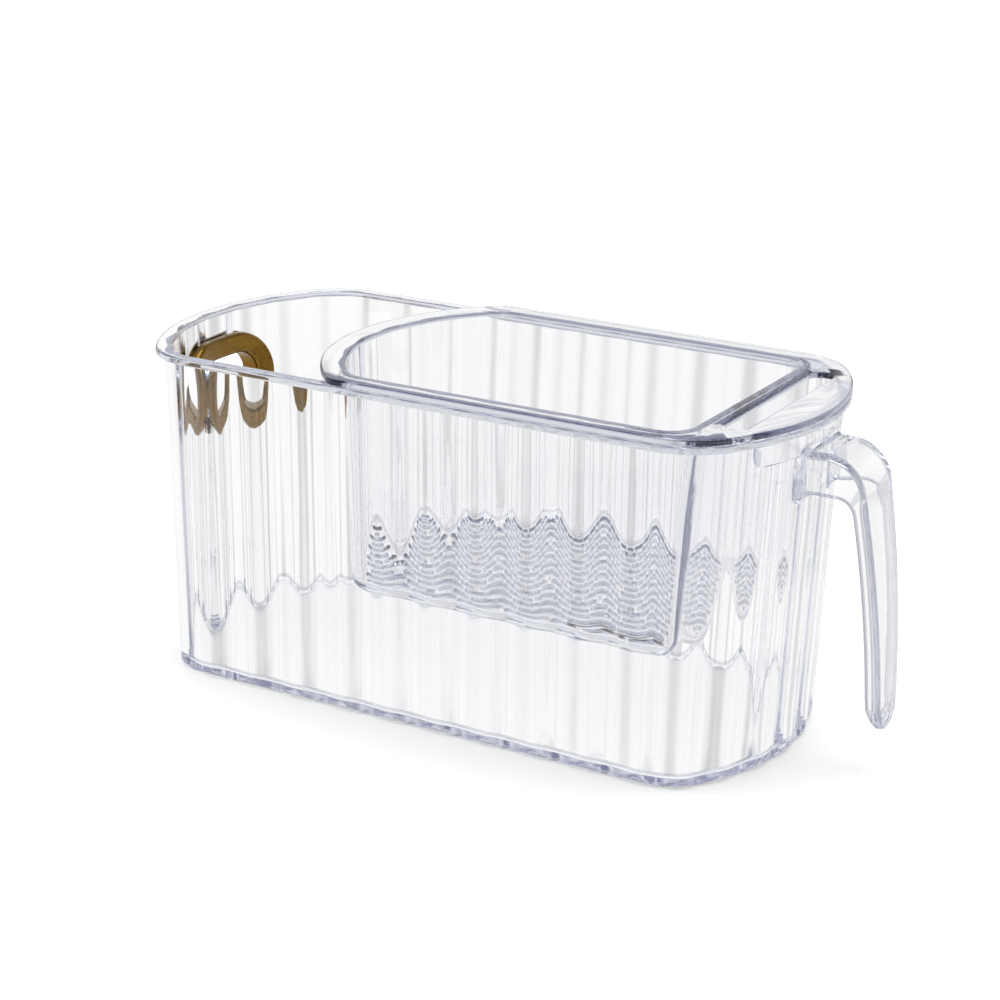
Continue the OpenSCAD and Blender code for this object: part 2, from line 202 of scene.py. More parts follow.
TAIL_X = BAR_X + basket_inset(SEAT_Z) + BASKET_T
BAR_CORNER_X = TAIL_X - BAR_CORNER_R
BAR_CORNER_Y = HALF_WIDTH - BAR_CORNER_R
NOSE_CORNER_Y = HALF_WIDTH - NOSE_CORNER_R
NOSE_CORNER_X = NOSE_CENTRE_X - sqrt((NOSE_R - NOSE_CORNER_R) ** 2 - NOSE_CORNER_Y ** 2)
NOSE_ANGLE = degrees(atan2(NOSE_CORNER_Y, NOSE_CENTRE_X - NOSE_CORNER_X))
# The inset at which distances along the basket's outline are measured
BASKET_SKIN = basket_inset(SEAT_Z) + BASKET_T / 2


# Outlines are lists of lines and arcs, walked counter-clockwise seen from above.
def line(x0, y0, x1, y1):
    return ("line", Vector((x0, y0)), Vector((x1, y1)))


def arc(cx, cy, r, a0, a1):
    return ("arc", Vector((cx, cy)), r, radians(a0), radians(a1))


def stretch(part, skin):
    """Length of one line or arc, measured at the inset called skin."""
    if part[0] == "line":
        return (part[2] - part[1]).length
    return (part[2] - skin) * (part[4] - part[3])


def spot(part, share):
    """Point on a line or arc, and the direction that leads inwards from it."""
    if part[0] == "line":
        way = (part[2] - part[1]).normalized()
        return part[1].lerp(part[2], share), Vector((-way.y, way.x))
    angle = part[3] + share * (part[4] - part[3])
    out = Vector((cos(angle), sin(angle)))
    return part[1] + part[2] * out, -out


def walk(outline, stations, skin=0.0):
    """Points and inward directions at distances along an outline."""
    lengths = [stretch(part, skin) for part in outline]
    around = sum(lengths)
    points, inward = [], []
    for station in stations:
        left = station % around
        k = 0
        while k < len(outline) - 1 and left > lengths[k]:
            left -= lengths[k]
            k += 1
        point, way = spot(outline[k], min(left / lengths[k], 1.0))
        points.append(point)
        inward.append(way)
    return np.array(points), np.array(inward)


def length_of(outline, skin=0.0):
    return sum(stretch(part, skin) for part in outline)


def handle_end():
    """The outline's corners and bowed end on the handle's side."""
    return [
        arc(CORNER_X, -CORNER_Y, CORNER_R, -90, -END_ANGLE),
        arc(END_CENTRE_X, 0, END_R, -END_ANGLE, END_ANGLE),
        arc(CORNER_X, CORNER_Y, CORNER_R, END_ANGLE, 90),
    ]


RIM = [
    line(0, -HALF_WIDTH, CORNER_X, -HALF_WIDTH),
    *handle_end(),
    line(CORNER_X, HALF_WIDTH, -CORNER_X, HALF_WIDTH),
    arc(-CORNER_X, CORNER_Y, CORNER_R, 90, 180 - END_ANGLE),
    arc(-END_CENTRE_X, 0, END_R, 180 - END_ANGLE, 180 + END_ANGLE),
    arc(-CORNER_X, -CORNER_Y, CORNER_R, 180 + END_ANGLE, 270),
    line(-CORNER_X, -HALF_WIDTH, 0, -HALF_WIDTH),
]

BASKET = [
    arc(NOSE_CENTRE_X, 0, NOSE_R, 180, 180 + NOSE_ANGLE),
    arc(NOSE_CORNER_X, -NOSE_CORNER_Y, NOSE_CORNER_R, 180 + NOSE_ANGLE, 270),
    line(NOSE_CORNER_X, -HALF_WIDTH, BAR_CORNER_X, -HALF_WIDTH),
    arc(BAR_CORNER_X, -BAR_CORNER_Y, BAR_CORNER_R, 270, 360),
    line(TAIL_X, -BAR_CORNER_Y, TAIL_X, BAR_CORNER_Y),
    arc(BAR_CORNER_X, BAR_CORNER_Y, BAR_CORNER_R, 0, 90),
    line(BAR_CORNER_X, HALF_WIDTH, NOSE_CORNER_X, HALF_WIDTH),
    arc(NOSE_CORNER_X, NOSE_CORNER_Y, NOSE_CORNER_R, 90, 180 - NOSE_ANGLE),
    arc(NOSE_CENTRE_X, 0, NOSE_R, 180 - NOSE_ANGLE, 180),
]


def flange_outline():
    """The bin's rim on the handle's side, and the bowed nose on the other."""
    cy = HALF_WIDTH - FLANGE_CORNER_R
    cx = NOSE_CENTRE_X - sqrt((NOSE_R - FLANGE_CORNER_R) ** 2 - cy ** 2)
    a = degrees(asin(cy / (NOSE_R - FLANGE_CORNER_R)))
    return [
        arc(NOSE_CENTRE_X, 0, NOSE_R, 180, 180 + a),
        arc(cx, -cy, FLANGE_CORNER_R, 180 + a, 270),
        line(cx, -HALF_WIDTH, CORNER_X, -HALF_WIDTH),
        *handle_end(),
        line(CORNER_X, HALF_WIDTH, cx, HALF_WIDTH),
        arc(cx, cy, FLANGE_CORNER_R, 90, 180 - a),
        arc(NOSE_CENTRE_X, 0, NOSE_R, 180 - a, 180),
    ]


def oval_outline(cx, cy, w, h):
    """A slot with round ends, h long along Y and w wide."""
    r = w / 2
    run = h / 2 - r
    return [
        line(cx + r, cy - run, cx + r, cy + run),
        arc(cx, cy + run, r, 0, 180),
        line(cx - r, cy + run, cx - r, cy - run),
        arc(cx, cy - run, r, 180, 360),
    ]


# Sections are lists of (inset, height) points.
def round_foot(inset, z, r):
    """A tub's bottom edge, from its flat floor up into its wall."""
    turns = [k * pi / 2 / ROUND_STEPS for k in range(ROUND_STEPS + 1)]
    return [(inset + r - r * sin(a), z + r - r * cos(a)) for a in turns]


def round_edge(inset, z, r, start, turn):
    """Part of a rounded edge about a centre at (inset, z). Angle 0 points outwards, 90 up."""
    steps = [radians(start + turn * k / ROUND_STEPS) for k in range(ROUND_STEPS + 1)]
    return [(inset - r * cos(a), z + r * sin(a)) for a in steps]


def new_object(name, verts, faces):
    """A mesh object from points in millimetres."""
    mesh = bpy.data.meshes.new(name)
    mesh.from_pydata([Vector(v) * MM for v in verts], [], faces)
    mesh.validate()
    made = bpy.data.objects.new(name, mesh)
    scene.collection.objects.link(made)
    return made


def loft_faces(columns, rows, closed_section=False):
    """Quads of a loft whose columns close on themselves. A plain section gets a cap at each end."""
    faces = []
    for c in range(columns):
        d = (c + 1) % columns
        for r in range(rows if closed_section else rows - 1):
            s = (r + 1) % rows
            faces.append((c * rows + r, d * rows + r, d * rows + s, c * rows + s))
    if not closed_section:
        faces.append([c * rows for c in reversed(range(columns))])
        faces.append([c * rows + rows - 1 for c in range(columns)])
    return faces


def loft(name, outline, stations, section, skin=0.0):
    """A closed solid: the section carried round the outline."""
    points, inward = walk(outline, stations, skin)
    verts = []
    for point, way in zip(points, inward):
        for inset, z in section:
            verts.append((*(point + inset * way), z))
    return new_object(name, verts, loft_faces(len(stations), len(section)))


def even_stations(outline, step, skin=0.0):
    """Distances along an outline, evenly spaced and at most a step apart."""
    around = length_of(outline, skin)
    count = ceil(around / step)
    return [around * k / count for k in range(count)]


def baked(piece):
    """Turns the piece's modifiers into its plain mesh."""
    graph = bpy.context.evaluated_depsgraph_get()
    mesh = bpy.data.meshes.new_from_object(piece.evaluated_get(graph))
    piece.modifiers.clear()
    old = piece.data
    piece.data = mesh
    bpy.data.meshes.remove(old)
    return piece


def combine(piece, tool, operation):
    """Joins the tool to the piece, cuts it out of the piece, or keeps what both share."""
    step = piece.modifiers.new(operation, "BOOLEAN")
    step.operation = operation
    step.solver = "EXACT"
    step.object = tool
    bpy.context.view_layer.update()
    baked(piece)
    bpy.data.objects.remove(tool)
    return piece


def face_outward(piece):
    """Turns the faces of a closed piece outwards."""
    shape = bmesh.new()
    shape.from_mesh(piece.data)
    bmesh.ops.recalc_face_normals(shape, faces=shape.faces)
    shape.to_mesh(piece.data)
    shape.free()
    return piece


def finish_surface(piece):
    """Smooth faces that break at real edges, with doubled corners merged."""
    shape = bmesh.new()
    shape.from_mesh(piece.data)
    bmesh.ops.remove_doubles(shape, verts=shape.verts, dist=MERGE_DISTANCE * MM)
    bmesh.ops.recalc_face_normals(shape, faces=shape.faces)
    shape.to_mesh(piece.data)
    shape.free()
    piece.data.polygons.foreach_set("use_smooth", [True] * len(piece.data.polygons))
    piece.data.set_sharp_from_angle(angle=SHARP_ANGLE)
    return piece


def mark_painted_edge_shade(piece, foot_z, floor_z):
    """Marks the faces painted darker than the walls, as painted shade for the dark lines that refraction
    draws along edges. They are the narrow faces of rounded edges above foot_z, and slanted ones below
    floor_z."""
    mesh = piece.data
    marks = []
    for face in mesh.polygons:
        corners = [mesh.vertices[v].co for v in face.vertices]
        around = sum((a - b).length for a, b in zip(corners, corners[1:] + corners[:1]))
        slope = abs(face.normal.z)
        narrow = 2 * face.area < EDGE_W * MM * around
        rounded = narrow and slope < FLAT_SLOPE and face.center.z > foot_z * MM
        slanted = SLANT_LEAST < slope < SLANT_MOST and face.center.z < floor_z * MM
        marks.append(float(rounded or slanted))
    mesh.attributes.new("edge", "FLOAT", "FACE").data.foreach_set("value", marks)
    return piece


# Node trees
def place(tree, kind, inputs=None, **settings):
    """Adds a node, sets its options, and links or sets its inputs."""
    made = tree.nodes.new(kind)
    for name, value in settings.items():
        setattr(made, name, value)
    for key, value in (inputs or {}).items():
        socket = made.inputs[key]
        if isinstance(value, bpy.types.NodeSocket):
            tree.links.new(value, socket)
        else:
            socket.default_value = value
    return made


def sums(tree, operation, *values):
    """A Math node's result."""
    return place(tree, "ShaderNodeMath", dict(enumerate(values)), operation=operation).outputs[0]


def attribute(tree, name, kind="FLOAT"):
    """A named attribute's value in a Geometry Nodes tree."""
    made = place(tree, "GeometryNodeInputNamedAttribute", {"Name": name}, data_type=kind)
    return next(o for o in made.outputs if o.enabled and o.name == "Attribute")


def new_tree(name, inputs, geometry_in=True):
    """An empty Geometry Nodes tree with named inputs, and the sockets to link inside it."""
    tree = bpy.data.node_groups.new(name, "GeometryNodeTree")
    tree.is_modifier = True
    if geometry_in:
        tree.interface.new_socket("Geometry", in_out="INPUT", socket_type="NodeSocketGeometry")
    for label, kind in inputs:
        tree.interface.new_socket(label, in_out="INPUT", socket_type="NodeSocket" + kind)
    tree.interface.new_socket("Geometry", in_out="OUTPUT", socket_type="NodeSocketGeometry")
    return tree, tree.nodes.new("NodeGroupInput").outputs, tree.nodes.new("NodeGroupOutput").inputs


def grow(piece, tree, values):
    """Runs a tree on a piece with these input values, and keeps the result as its mesh."""
    step = piece.modifiers.new(tree.name, "NODES")
    step.node_group = tree
    for item in tree.interface.items_tree:
        if item.in_out == "INPUT" and item.name in values:
            step[item.identifier] = values[item.name]
    bpy.context.view_layer.update()
    return baked(piece)


def fluted_wall_tree():
    """Presses flutes into a loft: moves each point inwards by its row's inset and its flute's rise."""
    tree, given, out = new_tree(
        "fluted wall",
        [("Flute Count", "Float"), ("Flute Depth", "Float"), ("Plastic", "Material")],
    )
    phase = sums(tree, "FRACT", sums(tree, "MULTIPLY", attribute(tree, "along"), given["Flute Count"]))
    wave = sums(tree, "COSINE", sums(tree, "MULTIPLY", phase, 2 * pi))
    rise = sums(tree, "MULTIPLY_ADD", wave, 0.5, 0.5)
    depth = sums(tree, "MULTIPLY", given["Flute Depth"], attribute(tree, "fluted"))
    pressed = sums(tree, "MULTIPLY_ADD", rise, depth, attribute(tree, "inset"))
    inset = sums(tree, "MAXIMUM", pressed, attribute(tree, "foot"))
    shift = place(tree, "ShaderNodeVectorMath", {
        0: attribute(tree, "inward", "FLOAT_VECTOR"), "Scale": inset}, operation="SCALE")
    moved = place(tree, "GeometryNodeSetPosition", {
        "Geometry": given["Geometry"], "Offset": shift.outputs[0]})
    plain = place(tree, "GeometryNodeRealizeInstances", {"Geometry": moved.outputs[0]})
    dressed = place(tree, "GeometryNodeSetMaterial", {
        "Geometry": plain.outputs[0], "Material": given["Plastic"]})
    tree.links.new(dressed.outputs[0], out["Geometry"])
    return tree


def drain_slot_tree():
    """Staggered rows of slots with round ends, cut short at the nose and at the tail."""
    tree, given, out = new_tree(
        "drain slots",
        [
            ("Slot Length", "Float"), ("Slot Width", "Float"), ("Bridge", "Float"), ("Bar", "Float"),
            ("Rows", "Int"), ("Columns", "Int"), ("Nose Centre", "Float"), ("Nose Reach", "Float"),
            ("Tail", "Float"), ("Middle Height", "Float"), ("Depth", "Float"), ("Chamfer", "Float"),
            ("Plastic", "Material"),
        ],
        geometry_in=False,
    )
    number = place(tree, "GeometryNodeInputIndex").outputs[0]
    row = sums(tree, "FLOOR", sums(tree, "DIVIDE", number, given["Columns"]))
    column = sums(tree, "SUBTRACT", number, sums(tree, "MULTIPLY", row, given["Columns"]))
    pitch = sums(tree, "ADD", given["Slot Length"], given["Bridge"])
    row_pitch = sums(tree, "ADD", given["Slot Width"], given["Bar"])
    half = sums(tree, "MULTIPLY", given["Slot Width"], 0.5)
    middle_row = sums(tree, "MULTIPLY", sums(tree, "SUBTRACT", given["Rows"], 1.0), 0.5)
    y = sums(tree, "MULTIPLY", sums(tree, "SUBTRACT", row, middle_row), row_pitch)
    stagger = sums(tree, "MULTIPLY", sums(tree, "MODULO", row, 2.0), 0.5)
    middle_column = sums(tree, "FLOOR", sums(tree, "MULTIPLY", given["Columns"], 0.5))
    steps = sums(tree, "ADD", sums(tree, "SUBTRACT", column, middle_column), stagger)
    start = sums(tree, "MULTIPLY_ADD", steps, pitch, given["Nose Centre"])
    edge = sums(tree, "ADD", sums(tree, "ABSOLUTE", y), half)
    reach_squared = sums(tree, "POWER", given["Nose Reach"], 2.0)
    bow = sums(tree, "SQRT", sums(tree, "SUBTRACT", reach_squared, sums(tree, "POWER", edge, 2.0)))
    x0 = sums(tree, "MAXIMUM", start, sums(tree, "SUBTRACT", given["Nose Centre"], bow))
    x1 = sums(tree, "MINIMUM", sums(tree, "ADD", start, given["Slot Length"]), given["Tail"])
    run = sums(tree, "SUBTRACT", x1, x0)
    middle = sums(tree, "MULTIPLY", sums(tree, "ADD", x0, x1), 0.5)
    centre = place(tree, "ShaderNodeCombineXYZ", {"X": middle, "Y": y, "Z": given["Middle Height"]})
    points = place(tree, "GeometryNodePoints", {
        "Count": sums(tree, "MULTIPLY", given["Rows"], given["Columns"]), "Position": centre.outputs[0]})
    half_run = sums(tree, "SUBTRACT", sums(tree, "MULTIPLY", run, 0.5), half)
    marked = place(tree, "GeometryNodeStoreNamedAttribute", {
        "Geometry": points.outputs[0], "Name": "half_run", "Value": half_run},
        data_type="FLOAT", domain="POINT")
    too_short = place(tree, "FunctionNodeCompare", {
        0: attribute(tree, "half_run"), 1: sums(tree, "MULTIPLY", given["Slot Width"], DRAIN_SHORTEST)},
        data_type="FLOAT", operation="LESS_THAN")
    kept = place(tree, "GeometryNodeDeleteGeometry", {
        "Geometry": marked.outputs[0], "Selection": too_short.outputs[0]}, domain="POINT")
    drum = place(tree, "GeometryNodeMeshCylinder", {
        "Vertices": SLOT_SIDES, "Radius": half, "Depth": given["Depth"], "Side Segments": 3},
        fill_type="NGON")
    turned = place(tree, "GeometryNodeTransform", {
        "Geometry": drum.outputs["Mesh"], "Rotation": (0.0, 0.0, pi / SLOT_SIDES)})
    position = place(tree, "GeometryNodeInputPosition").outputs[0]
    here = place(tree, "ShaderNodeSeparateXYZ", {0: position})
    at_face = sums(tree, "GREATER_THAN", sums(tree, "ABSOLUTE", here.outputs["Z"]),
                   sums(tree, "MULTIPLY", given["Depth"], 0.4))
    widening = sums(tree, "MULTIPLY", at_face, sums(tree, "DIVIDE", given["Chamfer"], half))
    outwards = place(tree, "ShaderNodeVectorMath", {
        0: position, 1: (1.0, 1.0, 0.0)}, operation="MULTIPLY").outputs[0]
    spread_out = place(tree, "ShaderNodeVectorMath", {0: outwards, "Scale": widening}, operation="SCALE")
    flared = place(tree, "GeometryNodeSetPosition", {
        "Geometry": turned.outputs[0], "Offset": spread_out.outputs[0]})
    ended = place(tree, "GeometryNodeStoreNamedAttribute", {
        "Geometry": flared.outputs[0], "Name": "slot_end",
        "Value": sums(tree, "SIGN", here.outputs["X"])}, data_type="FLOAT", domain="POINT")
    spread = place(tree, "GeometryNodeInstanceOnPoints", {
        "Points": kept.outputs[0], "Instance": ended.outputs[0]})
    plain = place(tree, "GeometryNodeRealizeInstances", {"Geometry": spread.outputs[0]})
    reach = place(tree, "ShaderNodeCombineXYZ", {
        "X": sums(tree, "MULTIPLY", attribute(tree, "slot_end"), attribute(tree, "half_run"))})
    drawn = place(tree, "GeometryNodeSetPosition", {
        "Geometry": plain.outputs[0], "Offset": reach.outputs[0]})
    dressed = place(tree, "GeometryNodeSetMaterial", {
        "Geometry": drawn.outputs[0], "Material": given["Plastic"]})
    tree.links.new(dressed.outputs[0], out["Geometry"])
    return tree


# Finishes
def moulding_marks():
    """Group: the faint waves, haze and specks of a moulded surface."""
    tree = bpy.data.node_groups.new("moulding marks", "ShaderNodeTree")
    for label in ("Wave Size", "Draw Lines", "Least Roughness", "Most Roughness"):
        tree.interface.new_socket(label, in_out="INPUT", socket_type="NodeSocketFloat")
    for label in ("Roughness", "Height"):
        tree.interface.new_socket(label, in_out="OUTPUT", socket_type="NodeSocketFloat")
    given = tree.nodes.new("NodeGroupInput").outputs
    out = tree.nodes.new("NodeGroupOutput").inputs
    where = place(tree, "ShaderNodeTexCoord").outputs["Object"]
    haze = place(tree, "ShaderNodeTexNoise", {
        "Vector": where, "Scale": given["Wave Size"], "Detail": 3.0, "Roughness": 0.6})
    spread = place(tree, "ShaderNodeMapRange", {
        "Value": haze.outputs["Fac"], "From Min": 0.35, "From Max": 0.7,
        "To Min": given["Least Roughness"], "To Max": given["Most Roughness"]})
    tree.links.new(spread.outputs["Result"], out["Roughness"])
    wave = place(tree, "ShaderNodeTexNoise", {
        "Vector": where, "Scale": sums(tree, "MULTIPLY", given["Wave Size"], 0.6), "Detail": 1.0})
    speck = place(tree, "ShaderNodeTexNoise", {
        "Vector": where, "Scale": sums(tree, "MULTIPLY", given["Wave Size"], 14.0), "Detail": 2.0})
    drawn = place(tree, "ShaderNodeMapping", {"Vector": where, "Scale": (1.0, 1.0, 0.03)})
    lines = place(tree, "ShaderNodeTexNoise", {
        "Vector": drawn.outputs[0], "Detail": 2.0,
        "Scale": sums(tree, "MULTIPLY", given["Wave Size"], 9.0)})
    direction = place(tree, "ShaderNodeNewGeometry").outputs["Normal"]
    facing = place(tree, "ShaderNodeSeparateXYZ", {0: direction})
    upright = sums(tree, "SUBTRACT", 1.0, sums(tree, "ABSOLUTE", facing.outputs["Z"]))
    on_walls = sums(tree, "MULTIPLY", lines.outputs["Fac"], upright)
    draw = sums(tree, "MULTIPLY", on_walls, given["Draw Lines"])
    specks = sums(tree, "MULTIPLY_ADD", speck.outputs["Fac"], 0.06, wave.outputs["Fac"])
    tree.links.new(sums(tree, "ADD", specks, draw), out["Height"])
    return tree


MARKS = moulding_marks()


def new_finish(name):
    """An empty material and its node tree."""
    finish = bpy.data.materials.new(name)
    finish.use_nodes = True
    finish.node_tree.nodes.clear()
    return finish, finish.node_tree


def marked_surface(tree, wave_size, draw_lines, least, most, bump):
    """Roughness and Normal sockets from the moulding marks."""
    marks = place(tree, "ShaderNodeGroup", node_tree=MARKS)
    marks.inputs["Wave Size"].default_value = wave_size
    marks.inputs["Draw Lines"].default_value = draw_lines
    marks.inputs["Least Roughness"].default_value = least
    marks.inputs["Most Roughness"].default_value = most
    raised = place(tree, "ShaderNodeBump", {
        "Height": marks.outputs["Height"], "Strength": bump, "Distance": 0.0004})
    return marks.outputs["Roughness"], raised.outputs["Normal"]


def clear_plastic(name, stain, depth, wave_size):
    """Clear moulded plastic: nearly colourless in a wall, lavender grey where light runs along it."""
    finish, tree = new_finish(name)
    rough, normal = marked_surface(tree, wave_size, 0.5, 0.0, 0.03, 0.1)
    # Painted shade: faces marked as edges get a grey base colour, darker than the clear walls
    edge = place(tree, "ShaderNodeAttribute", attribute_name="edge").outputs["Fac"]
    tone = place(tree, "ShaderNodeValToRGB", {"Fac": edge})
    tone.color_ramp.elements[0].color = WHITE
    tone.color_ramp.elements[1].color = EDGE_PAINTED_SHADE
    shader = place(tree, "ShaderNodeBsdfPrincipled", {
        "Base Color": tone.outputs["Color"], "Metallic": 0.0, "IOR": 1.53,
        "Transmission Weight": 1.0, "Roughness": rough, "Normal": normal})
    inside = place(tree, "ShaderNodeVolumeAbsorption", {"Color": stain, "Density": depth})
    end = place(tree, "ShaderNodeOutputMaterial")
    tree.links.new(shader.outputs[0], end.inputs["Surface"])
    tree.links.new(inside.outputs[0], end.inputs["Volume"])
    return finish


def gold_plastic():
    """Glossy mustard gold of the grip ring, a little darker in drifts."""
    finish, tree = new_finish("gold trim")
    rough, normal = marked_surface(tree, 90.0, 0.0, 0.10, 0.22, 0.06)
    where = place(tree, "ShaderNodeTexCoord").outputs["Object"]
    drift = place(tree, "ShaderNodeTexNoise", {"Vector": where, "Scale": 120.0, "Detail": 4.0})
    ramp = place(tree, "ShaderNodeValToRGB", {"Fac": drift.outputs["Fac"]})
    ramp.color_ramp.elements[0].position = 0.3
    ramp.color_ramp.elements[0].color = (0.165, 0.086, 0.007, 1.0)
    ramp.color_ramp.elements[1].position = 0.7
    ramp.color_ramp.elements[1].color = (0.24, 0.130, 0.012, 1.0)
    shader = place(tree, "ShaderNodeBsdfPrincipled", {
        "Base Color": ramp.outputs["Color"], "Metallic": 0.8, "IOR": 1.5,
        "Roughness": rough, "Normal": normal})
    end = place(tree, "ShaderNodeOutputMaterial")
    tree.links.new(shader.outputs[0], end.inputs["Surface"])
    return finish


CLEAR_BIN = clear_plastic("clear bin", (0.46, 0.49, 0.66, 1.0), 9.0, 40.0)
CLEAR_BASKET = clear_plastic("clear basket", (0.48, 0.50, 0.65, 1.0), 28.0, 46.0)
GOLD_TRIM = gold_plastic()
FLUTED_WALL = fluted_wall_tree()
DRAIN_SLOTS = drain_slot_tree()


def fluted_loft(name, outline, stations, phases, weights, section, skin, count, depth, plastic):
    """A loft whose fluted rows are pressed by the fluted wall tree.
    Section rows are (inset, height, fluted, least inset)."""
    points, inward = walk(outline, stations, skin)
    verts, along, fluted, inset, foot, ways = [], [], [], [], [], []
    for point, way, phase, weight in zip(points, inward, phases, weights):
        for row_inset, z, row_fluted, least in section:
            verts.append((*point, z))
            along.append(phase / count)
            fluted.append(weight * row_fluted)
            inset.append(row_inset * MM)
            foot.append(least * MM)
            ways.extend((*way, 0.0))
    piece = new_object(name, verts, loft_faces(len(stations), len(section)))
    marks = {"along": along, "fluted": fluted, "inset": inset, "foot": foot}
    for label, values in marks.items():
        piece.data.attributes.new(label, "FLOAT", "POINT").data.foreach_set("value", values)
    piece.data.attributes.new("inward", "FLOAT_VECTOR", "POINT").data.foreach_set("vector", ways)
    grow(piece, FLUTED_WALL, {
        "Flute Count": float(count), "Flute Depth": depth * MM, "Plastic": plastic})
    for label in [*marks, "inward"]:
        piece.data.attributes.remove(piece.data.attributes[label])
    return piece


# Bin
def heights(low, high, count):
    """Heights from low to high in even steps."""
    return [low + (high - low) * k / count for k in range(count + 1)]


def plain_rows(points):
    """Section rows without flutes."""
    return [(inset, z, 0.0, NO_FOOT) for inset, z in points]


def bin_section():
    """From the flat underside, up the fluted wall, over the lip and down to the inner floor."""
    start = wall_inset(BASE_R) - FOOT_SLACK
    lip_z = BIN_H - LIP_H
    rows = [(wall_inset(z), z, 1.0, least) for least, z in round_foot(start, 0.0, BASE_R)]
    rows += [(wall_inset(z), z, 1.0, NO_FOOT) for z in heights(BASE_R, lip_z, WALL_ROWS)[1:]]
    rows += plain_rows(round_edge(LIP_ROUND, lip_z + LIP_ROUND, LIP_ROUND, -90, 90))
    rows += plain_rows(round_edge(LIP_ROUND, BIN_H - LIP_ROUND, LIP_ROUND, 0, 90))
    inner = wall_inset(BIN_H) + WALL_T
    rows += plain_rows(round_edge(inner - MOUTH_R, BIN_H - MOUTH_R, MOUTH_R, 90, 90))
    low = FLOOR_T + INNER_R
    inner_heights = heights(BIN_H - MOUTH_R, low, WALL_ROWS)[1:-1]
    rows += plain_rows((wall_inset(z) + WALL_T, z) for z in inner_heights)
    rows += plain_rows(reversed(round_foot(wall_inset(low) + WALL_T, FLOOR_T, INNER_R)))
    return rows


def handle_pad():
    """Plain pad under the lip, where the flutes stop above the handle."""
    z0 = BIN_H - LIP_H - PAD_H
    z1 = BIN_H - LIP_H / 2
    r = PAD_H / 2
    across, up = 60, 8
    verts = []
    for k0 in (-PAD_PROUD, ROOT_DEPTH):
        for i in range(across + 1):
            y = PAD_HALF_W * (2 * i / across - 1)
            past = max(abs(y) - PAD_HALF_W + r, 0.0)
            foot = z0 + r - sqrt(max(r * r - past * past, 0.0))
            for j in range(up + 1):
                z = foot + (z1 - foot) * j / up
                verts.append((END_CENTRE_X + sqrt((END_R - wall_inset(z) - k0) ** 2 - y * y), y, z))
    per = up + 1
    back = (across + 1) * per
    faces = []
    for i in range(across):
        for j in range(up):
            a, b = i * per + j, (i + 1) * per + j
            faces.append((a, b, b + 1, a + 1))
            faces.append((back + a, back + a + 1, back + b + 1, back + b))
        a, b = i * per, (i + 1) * per
        faces.append((a, back + a, back + b, b))
        faces.append((a + up, b + up, back + b + up, back + a + up))
    for j in range(up):
        a = j
        b = across * per + j
        faces.append((a, a + 1, back + a + 1, back + a))
        faces.append((b, back + b, back + b + 1, b + 1))
    return new_object("handle pad", verts, faces)


def grip(u):
    """Outer face of the grip, from the tip at u = 0 to the bend at u = 1."""
    lean = GRIP_STRAIGHT * u + (1 - GRIP_STRAIGHT) * u * u
    return (GRIP_X - GRIP_LEAN * lean, HANDLE_TIP + u * (BEND_Z - HANDLE_TIP))


def grip_depth(u):
    """The channel's depth along the grip."""
    return CHANNEL_D * min(1.0, TIP_DEPTH + TIP_GROWTH * u)


def bend(point, r0, r, a):
    """Point of a bend that leaves the grip at the given point, where it has radius r0."""
    return (point[0] + r * cos(a) - r0 * cos(BEND_ANGLE), point[1] + r * sin(a) - r0 * sin(BEND_ANGLE))


def handle_rails(v):
    """Outer and inner point, in (x, z), of the handle's side view at a distance v up from its tip."""
    arm_z = HANDLE_TOP - ARM_D
    low_z = arm_z - UNDER_R * (1 - sin(BEND_ANGLE))
    grip_h = BEND_Z - HANDLE_TIP
    low_u = (low_z - HANDLE_TIP) / grip_h
    under = (grip(low_u)[0] - CHANNEL_D, low_z)
    bent = BEND_R * (pi / 2 - BEND_ANGLE)
    corner = v - (low_z - HANDLE_TIP)
    share = corner / (BEND_Z - low_z + bent)
    if share <= 0:
        outer = grip(v / grip_h)
        return outer, (outer[0] - grip_depth(v / grip_h), outer[1])
    over = bend(grip(1), BEND_R, BEND_R, pi / 2)[0]
    below = bend(under, UNDER_R, UNDER_R, pi / 2)[0]
    if share > 1:
        along = (share - 1) * (BEND_Z - low_z + bent) / (over - ARM_X)
        return (over + along * (ARM_X - over), HANDLE_TOP), (below + along * (ARM_X - below), arm_z)
    inner = bend(under, UNDER_R, UNDER_R, BEND_ANGLE + share * (pi / 2 - BEND_ANGLE))
    if v <= grip_h:
        return grip(v / grip_h), inner
    return bend(grip(1), BEND_R, BEND_R, BEND_ANGLE + (v - grip_h) / BEND_R), inner


def root_flare(x):
    """How far the handle has swollen at x, where it grows out of the wall."""
    near = min(max(ROOT_X + ROOT_R - x, 0.0), ROOT_R)
    return ROOT_R - sqrt(ROOT_R ** 2 - near ** 2)


def channel_section(depth):
    """Rows of the handle's channel section: (inset, depth, swells sideways, swells in depth)."""
    t = HANDLE_T
    outer_r = CHANNEL_R
    end_h = min(t / 2, (depth - outer_r) / 2)
    fillet = min(CHANNEL_IN_R, (depth - t) / 2)
    quarter = [pi / 2 * k / ROUND_STEPS for k in range(ROUND_STEPS + 1)]
    rows = [(outer_r * (1 - sin(a)), outer_r * (1 - cos(a)), sin(a), -cos(a)) for a in quarter]
    rows += [(t / 2 * (1 - cos(a)), depth - end_h * (1 - sin(a)), cos(a), sin(a)) for a in quarter]
    rows += [(t / 2 * (1 + sin(a)), depth - end_h * (1 - cos(a)), 0.0, cos(a)) for a in quarter[1:]]
    rows += [(t + fillet * (1 - cos(a)), t + fillet * (1 - sin(a)), 0.0, 0.0) for a in quarter]
    return rows


